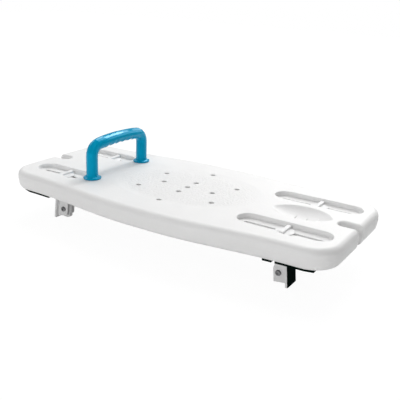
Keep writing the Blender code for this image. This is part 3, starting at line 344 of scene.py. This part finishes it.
hose_slots = []
slot_x = BOARD_LENGTH / 2 - HOSE_SLOT_REACH + HOSE_SLOT_HALF_WIDTH
mouth_x = BOARD_LENGTH / 2 - END_BOW
widths = [(0.0, UNDERSIDE_Z - OVERRUN)]
widths += [(HOSE_SLOT_RIM_RADIUS * across, TOP_Z - HOSE_SLOT_RIM_RADIUS * drop)
           for across, drop in fillet(HOSE_SLOT_RIM_STEPS)]
widths.append((HOSE_SLOT_RIM_RADIUS, TOP_Z + OVERRUN))
for side in (-1, 1):
    rings = []
    for grow, z in widths:
        radius = HOSE_SLOT_HALF_WIDTH + grow
        turns = [math.pi * (0.5 + i / HOSE_SLOT_STEPS) for i in range(HOSE_SLOT_STEPS + 1)]
        plan = [(slot_x + radius * math.cos(turn), radius * math.sin(turn)) for turn in turns]
        flare = [(mouth_x - 2 * HOSE_SLOT_MOUTH, radius), (mouth_x, radius + HOSE_SLOT_MOUTH / 2),
                 (mouth_x + 3 * HOSE_SLOT_MOUTH, radius + 3 * HOSE_SLOT_MOUTH)]
        plan += [(x, -y) for x, y in flare] + list(reversed(flare))
        rings.append(level([(side * x, y) for x, y in plan], z))
    hose_slots.append(bridged(rings))

# Below: a pocket and a hole for each of the handle's bolts, and a shallow seat for each rubber strip.
HANDLE_FEET = ((-0.1834, -0.084), (-0.1834, 0.084))
BOLT_POCKET_RADIUS = 0.0130
BOLT_POCKET_TOP = UNDERSIDE_Z + 0.020
BOLT_HOLE_RADIUS = 0.0044
STRIP_SEATS = ((1, 0.2655, 0.3345), (1, 0.2425, 0.2595), (-1, 0.2615, 0.3405))
STRIP_EDGE_INSET = 0.0155
STRIP_WIDTH = 0.0160
STRIP_GAP = 0.0003
STRIP_SEAT_Z = UNDERSIDE_Z + 0.0010
STRIP_STEPS = 4

bolt_holes = []
for place in HANDLE_FEET:
    profile = [(BOLT_POCKET_RADIUS, UNDERSIDE_Z - OVERRUN), (BOLT_POCKET_RADIUS, BOLT_POCKET_TOP),
               (BOLT_HOLE_RADIUS, BOLT_POCKET_TOP), (BOLT_HOLE_RADIUS, TOP_Z + OVERRUN)]
    bolt_holes.append(drawn_apart(turned(profile, HOLE_SIDES), place))
strip_seats = []
for end, start, stop in STRIP_SEATS:
    length = stop - start + 2 * STRIP_GAP
    reach = [start - STRIP_GAP + length * i / STRIP_STEPS for i in range(STRIP_STEPS + 1)]
    for side in (-1, 1):
        outer = [side_y_at(x) - STRIP_EDGE_INSET + STRIP_GAP for x in reach]
        inner = [side_y_at(x) - STRIP_EDGE_INSET - STRIP_WIDTH - STRIP_GAP for x in reach]
        plan = [(end * x, side * y) for x, y in zip(reach, outer)]
        plan += [(end * x, side * y) for x, y in reversed(list(zip(reach, inner)))]
        strip_seats.append(bridged([level(plan, UNDERSIDE_Z - OVERRUN), level(plan, STRIP_SEAT_Z)]))

# The shell with everything cut from it, the ribs added last.
BOARD_CREASE = 38.0


def object_of(name, bodies):
    whole = bpy.data.meshes.new(name)
    joined = bmesh.new()
    for body in bodies:
        body.to_mesh(whole)
        body.free()
        joined.from_mesh(whole)
    joined.to_mesh(whole)
    joined.free()
    piece = bpy.data.objects.new(name, whole)
    bpy.context.scene.collection.objects.link(piece)
    return piece


board = object_of("seat_board_shell", [shell])
cutters = []
for name, bodies in (("seat", [hollow]), ("drains", drains), ("recesses", recesses), ("slots", slots),
                     ("notches", notches), ("soap", [dish]), ("hose", hose_slots), ("bolts", bolt_holes),
                     ("strips", strip_seats), ("ribs", ribs)):
    cutter = object_of(f"cutter_{name}", bodies)
    step = board.modifiers.new(name, "BOOLEAN")
    step.operation = "UNION" if name == "ribs" else "DIFFERENCE"
    step.solver = "MANIFOLD"
    step.object = cutter
    cutters.append(cutter)
board_mesh = bpy.data.meshes.new_from_object(board.evaluated_get(bpy.context.evaluated_depsgraph_get()))
board.modifiers.clear()
board.data = board_mesh
for cutter in cutters:
    bpy.data.objects.remove(cutter, do_unlink=True)
board_mesh.shade_smooth()
board_mesh.set_sharp_from_angle(angle=math.radians(BOARD_CREASE))
even = board.modifiers.new("even_shading", "WEIGHTED_NORMAL")
even.keep_sharp = True
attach(board, "board")
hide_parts("seat_board")

# The board's plastic, with the pebble grain strong in the seat's hollow and faint elsewhere, and painted
# shade on the grain.
WHITE_PLASTIC = (0.80, 0.798, 0.795)
WHITE_CLOUDING = 0.018
SHINE_THROUGH = 0.3
SHINE_THROUGH_DEPTH = 0.004
PEBBLE_SCALE = 200.0
PEBBLE_DEPTH = 0.0020
PEBBLE_ELSEWHERE = 0.12
PEBBLE_FADE = (0.95, 0.75)
# Painted shade on the grain: the span of the grain's noise that is darkened, and how dark it gets.
GRAIN_SHADE_RANGE = (0.38, 0.62)
GRAIN_SHADE_TONE = 0.95


def tinted(colour, share=1.0):
    return (*(value * share for value in colour), 1.0)


def add_node(tree, kind, name, values=None, **settings):
    node = tree.nodes.new(kind)
    node.name = name
    for setting, value in settings.items():
        setattr(node, setting, value)
    for socket, value in (values or {}).items():
        node.inputs[socket].default_value = value


def wire(tree, *wires):
    for source, output, target, socket in wires:
        tree.links.new(tree.nodes[source].outputs[output], tree.nodes[target].inputs[socket])


def mottled(name, first, second, cloud_scale, cloud_detail, dullness):
    material = bpy.data.materials.new(name)
    material.use_nodes = True
    tree = material.node_tree
    add_node(tree, "ShaderNodeTexCoord", "place")
    add_node(tree, "ShaderNodeTexNoise", "cloud", {"Scale": cloud_scale, "Detail": cloud_detail})
    add_node(tree, "ShaderNodeMix", "tone", data_type="RGBA")
    tree.nodes["tone"].inputs["A"].default_value = first
    tree.nodes["tone"].inputs["B"].default_value = second
    add_node(tree, "ShaderNodeMapRange", "dullness", {"To Min": dullness[0], "To Max": dullness[1]})
    wire(tree, ("place", "Object", "cloud", "Vector"), ("cloud", "Fac", "tone", "Factor"),
         ("tone", "Result", "Principled BSDF", "Base Color"), ("cloud", "Fac", "dullness", "Value"),
         ("dullness", "Result", "Principled BSDF", "Roughness"))
    return material


board_plastic = mottled("blow_moulded_white", tinted(WHITE_PLASTIC, 1 - WHITE_CLOUDING),
                        tinted(WHITE_PLASTIC, 1 + WHITE_CLOUDING),
                        cloud_scale=26.0, cloud_detail=4.0, dullness=(0.44, 0.56))
board_tree = board_plastic.node_tree
board_shader = board_tree.nodes["Principled BSDF"]
board_shader.inputs["Subsurface Weight"].default_value = SHINE_THROUGH
board_shader.inputs["Subsurface Radius"].default_value = (1.0, 1.0, 1.0)
board_shader.inputs["Subsurface Scale"].default_value = SHINE_THROUGH_DEPTH
add_node(board_tree, "ShaderNodeMapping", "seat",
         {"Scale": (1 / SEAT_HALF_LENGTH, 1 / SEAT_HALF_WIDTH, 0.0)})
add_node(board_tree, "ShaderNodeVectorMath", "share", operation="LENGTH")
add_node(board_tree, "ShaderNodeMapRange", "inside",
         {"From Min": PEBBLE_FADE[0], "From Max": PEBBLE_FADE[1], "To Min": PEBBLE_ELSEWHERE, "To Max": 1.0})
add_node(board_tree, "ShaderNodeTexNoise", "pebble", {"Scale": PEBBLE_SCALE, "Detail": 2.0, "Roughness": 0.6})
add_node(board_tree, "ShaderNodeMath", "height", operation="MULTIPLY")
add_node(board_tree, "ShaderNodeBump", "bump", {"Strength": 1.0, "Distance": PEBBLE_DEPTH})
# Painted shade on the grain: the colour turns a shade darker where the grain's noise is high, most in the
# seat's hollow.
add_node(board_tree, "ShaderNodeMapRange", "grain_shade", {"From Min": GRAIN_SHADE_RANGE[0], "From Max": GRAIN_SHADE_RANGE[1]})
add_node(board_tree, "ShaderNodeMath", "grain_shade_share", operation="MULTIPLY")
add_node(board_tree, "ShaderNodeMix", "colour", data_type="RGBA")
board_tree.nodes["colour"].inputs["B"].default_value = tinted(WHITE_PLASTIC, GRAIN_SHADE_TONE)
wire(board_tree, ("place", "Object", "seat", "Vector"), ("seat", "Vector", "share", 0),
     ("share", "Value", "inside", "Value"), ("place", "Object", "pebble", "Vector"),
     ("pebble", "Fac", "height", 0), ("inside", "Result", "height", 1),
     ("height", "Value", "bump", "Height"), ("bump", "Normal", "Principled BSDF", "Normal"),
     ("pebble", "Fac", "grain_shade", "Value"), ("grain_shade", "Result", "grain_shade_share", 0), ("inside", "Result", "grain_shade_share", 1),
     ("grain_shade_share", "Value", "colour", "Factor"), ("tone", "Result", "colour", "A"),
     ("colour", "Result", "Principled BSDF", "Base Color"))
board_mesh.materials.clear()
board_mesh.materials.append(board_plastic)


# Sliders, clamp knobs and pivot legs. Injection-moulded white plastic, a shade greyer than the board,
# with the faint clouding of a moulded face. Each slider runs in the slot of its recess, its knob clamps
# it from above, and its leg hangs on a screw through its tongue.
BRACKET_WHITE = (0.79, 0.79, 0.79)
BRACKET_CLOUDING = 0.05

bracket_plastic = mottled("injection_moulded_white", tinted(BRACKET_WHITE, 1 - BRACKET_CLOUDING),
                          tinted(BRACKET_WHITE, 1 + BRACKET_CLOUDING),
                          cloud_scale=160.0, cloud_detail=3.0, dullness=(0.42, 0.55))
bracket_tree = bracket_plastic.node_tree
add_node(bracket_tree, "ShaderNodeTexNoise", "grain", {"Scale": 1500.0})
add_node(bracket_tree, "ShaderNodeBump", "bump", {"Strength": 0.2, "Distance": 0.0001})
wire(bracket_tree, ("place", "Object", "grain", "Vector"), ("grain", "Fac", "bump", "Height"),
     ("bump", "Normal", "Principled BSDF", "Normal"))
for name, node in nodes.items():
    if name.startswith(("slider_block", "clamp_knob", "pivot_leg")):
        node.data.materials[0] = bracket_plastic


# Grab handle. A glossy blue plastic moulding, bolted through the board from below. Its skin is a little
# uneven where the thick plastic has sunk, so that the lamps' reflections waver.
HANDLE_BLUE = (0.0004, 0.31, 0.52)
HANDLE_CLOUDING = 0.06
HANDLE_GLINT = (0.05, 0.60, 1.0)

handle_plastic = mottled("glossy_blue", tinted(HANDLE_BLUE, 1 - HANDLE_CLOUDING),
                         tinted(HANDLE_BLUE, 1 + HANDLE_CLOUDING),
                         cloud_scale=45.0, cloud_detail=3.0, dullness=(0.03, 0.07))
handle_tree = handle_plastic.node_tree
handle_tree.nodes["Principled BSDF"].inputs["Specular Tint"].default_value = tinted(HANDLE_GLINT)
add_node(handle_tree, "ShaderNodeBump", "sink", {"Strength": 0.12, "Distance": 0.0006})
wire(handle_tree, ("cloud", "Fac", "sink", "Height"), ("sink", "Normal", "Principled BSDF", "Normal"))
nodes["grab_handle"].data.materials[0] = handle_plastic


# Rubber. The strips under the board and the pads on the legs are matt black rubber with a fine tooth,
# greyed a little where dust clings, and glued on. The strips are copied from their CAD nodes, a little
# swollen downwards and with rounded edges.
RUBBER_BLACK = (0.0006, 0.0045, 0.0032)
RUBBER_DUST = (0.0018, 0.0068, 0.0052)
RUBBER_GLINT = 0.005
STRIP_SWELLING = 0.0028
STRIP_EDGE_RADIUS = 0.0006
STRIP_FACE_REACH = 0.0005
STRIP_CORNER_TURN = 0.6
STRIP_CREASE = 40.0
STRIP_JOIN_DISTANCE = 0.00001

rubber = mottled("matt_black_rubber", tinted(RUBBER_BLACK), tinted(RUBBER_DUST),
                 cloud_scale=120.0, cloud_detail=4.0, dullness=(0.70, 0.70))
rubber_tree = rubber.node_tree
rubber_tree.nodes["Principled BSDF"].inputs["Specular IOR Level"].default_value = RUBBER_GLINT
add_node(rubber_tree, "ShaderNodeTexNoise", "tooth", {"Scale": 1100.0, "Detail": 2.0})
add_node(rubber_tree, "ShaderNodeBump", "bump", {"Strength": 0.5, "Distance": 0.0002})
wire(rubber_tree, ("place", "Object", "tooth", "Vector"), ("tooth", "Fac", "bump", "Height"),
     ("bump", "Normal", "Principled BSDF", "Normal"))
for name, node in list(nodes.items()):
    if name.startswith("rubber_pad"):
        node.data.materials[0] = rubber
    if name.startswith("rim_strip"):
        swollen = bmesh.new()
        swollen.from_mesh(node.data)
        bmesh.ops.remove_doubles(swollen, verts=swollen.verts, dist=STRIP_JOIN_DISTANCE)
        face_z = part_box(name)[0][2] + STRIP_FACE_REACH
        lower_face = [vert for vert in swollen.verts if vert.co.z < face_z]
        bmesh.ops.translate(swollen, verts=lower_face, vec=(0.0, 0.0, -STRIP_SWELLING))
        corners = [edge for edge in swollen.edges if edge.calc_face_angle(0.0) > STRIP_CORNER_TURN]
        bmesh.ops.bevel(swollen, geom=corners, offset=STRIP_EDGE_RADIUS, segments=2, profile=0.5,
                        affect="EDGES", material=-1)
        strip = object_of(f"{name}_rounded", [swollen])
        strip.data.shade_smooth()
        strip.data.set_sharp_from_angle(angle=math.radians(STRIP_CREASE))
        strip.data.materials.clear()
        strip.data.materials.append(rubber)
        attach(strip, "board")
        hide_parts(name)


# Steel. Screws, nuts, studs, bolts and washers of dull zinc-plated steel, mottled by the plating. The
# screws carry the legs, the studs the knobs, and the bolts hold the handle from below.
STEEL_LIGHT = (0.30, 0.30, 0.305)
STEEL_DARK = (0.12, 0.12, 0.122)

steel = mottled("zinc_plated_steel", tinted(STEEL_DARK), tinted(STEEL_LIGHT),
                cloud_scale=420.0, cloud_detail=4.0, dullness=(0.28, 0.50))
steel.node_tree.nodes["Principled BSDF"].inputs["Metallic"].default_value = 1.0
for name, node in nodes.items():
    if name.startswith(("clamp_stud", "knob_washer", "pivot_screw", "pivot_nut",
                        "handle_bolt", "handle_washer")):
        node.data.materials[0] = steel


# Floor. A plain pale studio floor on the level of the feet. It is all but white to the camera and in
# reflections, and keeps the object's soft shadow, which fades out round the board.
FLOOR_HALF = 6.0
FLOOR_PALE = (0.82, 0.82, 0.82)
FLOOR_WHITE = 1.06
FLOOR_OWN_SHADE = 0.11
FLOOR_SHADE_REACH = (0.6, 1.8)

floor_mesh = bmesh.new()
bmesh.ops.create_grid(floor_mesh, x_segments=1, y_segments=1, size=FLOOR_HALF)
floor = object_of("studio_floor", [floor_mesh])
floor_paint = bpy.data.materials.new("studio_white")
floor_paint.use_nodes = True
floor_tree = floor_paint.node_tree
floor_tree.nodes.remove(floor_tree.nodes["Principled BSDF"])
add_node(floor_tree, "ShaderNodeBsdfDiffuse", "pale", {"Color": tinted(FLOOR_PALE)})
add_node(floor_tree, "ShaderNodeEmission", "white", {"Strength": FLOOR_WHITE})
add_node(floor_tree, "ShaderNodeMixShader", "both")
add_node(floor_tree, "ShaderNodeLightPath", "rays")
add_node(floor_tree, "ShaderNodeMath", "seen", operation="MAXIMUM")
add_node(floor_tree, "ShaderNodeMath", "seen_through", operation="MAXIMUM")
add_node(floor_tree, "ShaderNodeMath", "white_share", operation="MULTIPLY")
add_node(floor_tree, "ShaderNodeTexCoord", "place")
add_node(floor_tree, "ShaderNodeVectorMath", "reach", operation="LENGTH")
add_node(floor_tree, "ShaderNodeMapRange", "fade",
         {"From Min": FLOOR_SHADE_REACH[0], "From Max": FLOOR_SHADE_REACH[1],
          "To Min": 1.0 - FLOOR_OWN_SHADE, "To Max": 1.0})
wire(floor_tree, ("place", "Object", "reach", 0), ("reach", "Value", "fade", "Value"),
     ("fade", "Result", "white_share", 1), ("rays", "Is Camera Ray", "seen", 0),
     ("rays", "Is Glossy Ray", "seen", 1), ("seen", 0, "seen_through", 0),
     ("rays", "Is Transmission Ray", "seen_through", 1),
     ("seen_through", 0, "white_share", 0), ("white_share", 0, "both", "Fac"), ("pale", 0, "both", 1),
     ("white", 0, "both", 2), ("both", 0, "Material Output", "Surface"))
floor.data.materials.append(floor_paint)


# Light. The room itself is a dim even white, pure white where the camera sees it. A wide strip, a
# narrow strip and a side lamp stand behind the board, one hangs over it, and two light its front.
AMBIENT = 0.26
LAMPS = (("rear_strip", 84, 27, 3.2, 1.2, 25.0),
         ("rear_narrow", 90, 42, 0.5, 1.4, 19.0),
         ("rear_left", 165, 40, 2.0, 2.0, 13.0),
         ("overhead", 108, 60, 2.2, 2.2, 48.0),
         ("front_low", 272, 12, 1.6, 1.6, 30.0),
         ("front_high", 300, 50, 2.0, 2.0, 7.0))
LAMP_DISTANCE = 3.0

world = bpy.data.worlds.new("studio")
bpy.context.scene.world = world
world.use_nodes = True
room_tree = world.node_tree
room_tree.nodes["Background"].inputs["Color"].default_value = (1.0, 1.0, 1.0, 1.0)
room_tree.nodes["Background"].inputs["Strength"].default_value = AMBIENT
add_node(room_tree, "ShaderNodeBackground", "white", {"Color": (1.0, 1.0, 1.0, 1.0), "Strength": 1.0})
add_node(room_tree, "ShaderNodeLightPath", "rays")
add_node(room_tree, "ShaderNodeMath", "seen", operation="MAXIMUM")
add_node(room_tree, "ShaderNodeMixShader", "both")
wire(room_tree, ("rays", "Is Camera Ray", "seen", 0), ("rays", "Is Transmission Ray", "seen", 1),
     ("seen", 0, "both", "Fac"), ("Background", 0, "both", 1), ("white", 0, "both", 2),
     ("both", 0, "World Output", "Surface"))


def direction(azimuth, elevation):
    return Vector((math.cos(azimuth) * math.cos(elevation), math.sin(azimuth) * math.cos(elevation),
                   math.sin(elevation)))


for name, azimuth, elevation, width, height, power in LAMPS:
    lamp_data = bpy.data.lights.new(name, "AREA")
    lamp_data.shape = "RECTANGLE"
    lamp_data.size = width
    lamp_data.size_y = height
    lamp_data.energy = power
    lamp = bpy.data.objects.new(name, lamp_data)
    lamp_back = direction(math.radians(azimuth), math.radians(elevation))
    lamp.matrix_world = (Matrix.Translation(lamp_back * LAMP_DISTANCE)
                         @ lamp_back.to_track_quat("Z", "Y").to_matrix().to_4x4())
    bpy.context.scene.collection.objects.link(lamp)


# Camera. Set where the photograph was taken from: a little above, from the front and to the right. Its
# place, turn and lens come from a fit to the board's outline, the drain holes and the handle.
CAMERA_PLACE = (0.6445, -1.0087, 0.5035)
CAMERA_AZIMUTH = 0.54637 - math.pi / 2
CAMERA_ELEVATION = 0.34221
CAMERA_ROLL = 0.04416
SENSOR_WIDTH = 36.0
CAMERA_LENS = 55.177

camera_data = bpy.data.cameras.new("camera")
camera_data.sensor_width = SENSOR_WIDTH
camera_data.lens = CAMERA_LENS
camera_data.clip_start = 0.01
camera = bpy.data.objects.new("camera", camera_data)
back = direction(CAMERA_AZIMUTH, CAMERA_ELEVATION)
flat = Vector((0.0, 0.0, 1.0)).cross(back).normalized()
upright = back.cross(flat)
right = math.cos(CAMERA_ROLL) * flat + math.sin(CAMERA_ROLL) * upright
up = math.cos(CAMERA_ROLL) * upright - math.sin(CAMERA_ROLL) * flat
camera.matrix_world = Matrix(((right.x, up.x, back.x, CAMERA_PLACE[0]),
                              (right.y, up.y, back.y, CAMERA_PLACE[1]),
                              (right.z, up.z, back.z, CAMERA_PLACE[2]),
                              (0.0, 0.0, 0.0, 1.0)))
bpy.context.scene.collection.objects.link(camera)
bpy.context.scene.camera = camera
bpy.context.scene.view_settings.view_transform = "Standard"
